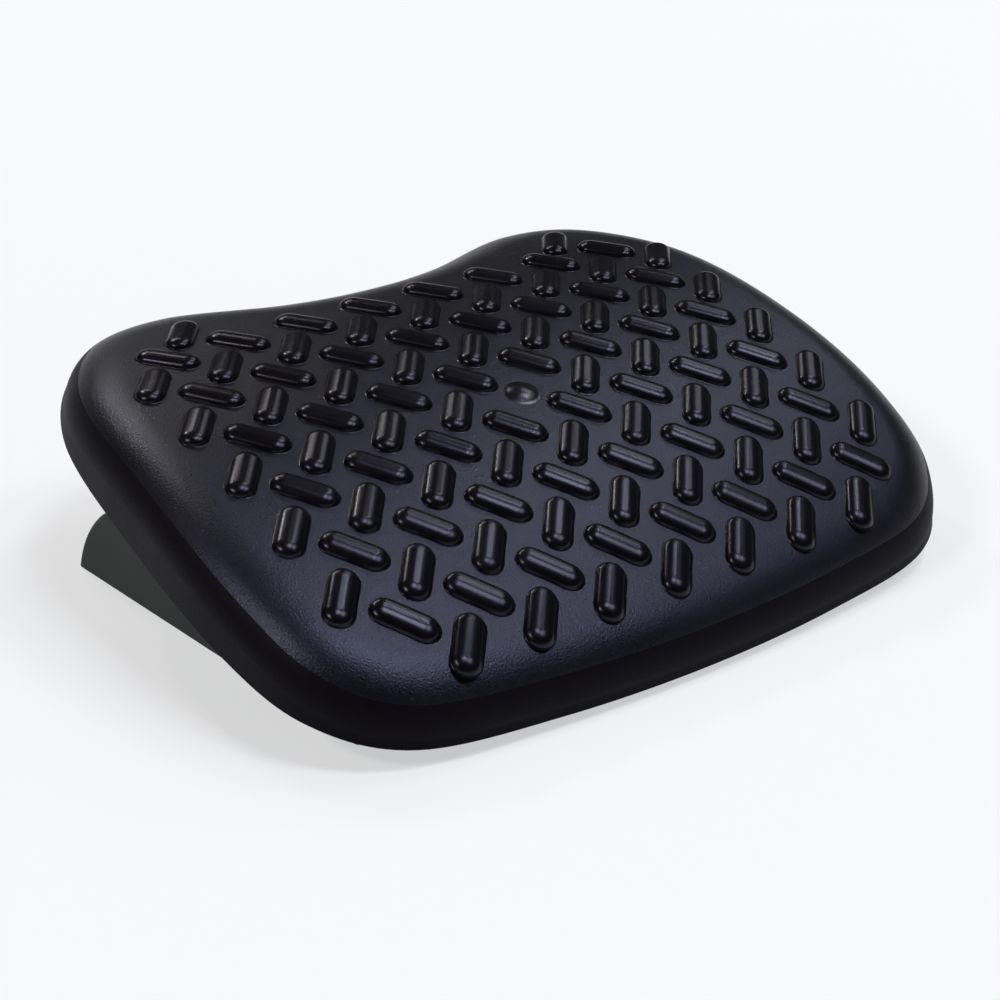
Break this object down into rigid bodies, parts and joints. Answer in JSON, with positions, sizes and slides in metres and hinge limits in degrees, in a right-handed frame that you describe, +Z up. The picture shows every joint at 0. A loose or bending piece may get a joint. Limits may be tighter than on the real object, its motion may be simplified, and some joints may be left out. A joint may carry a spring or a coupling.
{
  "type": "tilting footrest",
  "caption": "Under desk footrest: a waisted, crowned platform with a herringbone tread rocks on a friction hinge above a moulded base.",
  "frame": {"origin": "on the floor, under the middle of the whole footrest at rest", "axes": "+X to the sitter's right, +Y to the back, away from the sitter, +Z up"},
  "size_m": [0.4496, 0.353, 0.1261],
  "materials": {
    "platform_plastic": "fine sandy grain with smoother raised bars",
    "base_plastic": "smooth satin",
    "black_rubber": "matt",
    "friction_fibre": "matt fibre",
    "zinc_steel": "zinc plated",
    "bush_bronze": "sintered"
  },
  "bodies": {
    "base_body": {"base": "base_plastic", "left_pivot_bush": "bush_bronze", "left_outer_friction_washer": "friction_fibre", "left_inner_friction_washer": "friction_fibre", "right_pivot_bush": "bush_bronze", "right_outer_friction_washer": "friction_fibre", "right_inner_friction_washer": "friction_fibre", "front_left_stop_pad": "black_rubber", "front_right_stop_pad": "black_rubber", "back_left_stop_pad": "black_rubber", "back_right_stop_pad": "black_rubber", "front_left_foot": "black_rubber", "front_right_foot": "black_rubber", "back_left_foot": "black_rubber", "back_right_foot": "black_rubber"},
    "platform_body": {"platform": "platform_plastic", "left_pivot_bolt": "zinc_steel", "left_lock_nut": "zinc_steel", "left_head_washer": "zinc_steel", "left_nut_washer": "zinc_steel", "right_pivot_bolt": "zinc_steel", "right_lock_nut": "zinc_steel", "right_head_washer": "zinc_steel", "right_nut_washer": "zinc_steel"}
  },
  "joints": [
    {"name": "platform_tilt", "type": "hinge", "parent": "base_body", "child": "platform_body", "pos_m": [0, -0.00483, 0.0735], "axis": [1, 0, 0], "range_deg": [-30, 0]}
  ]
}
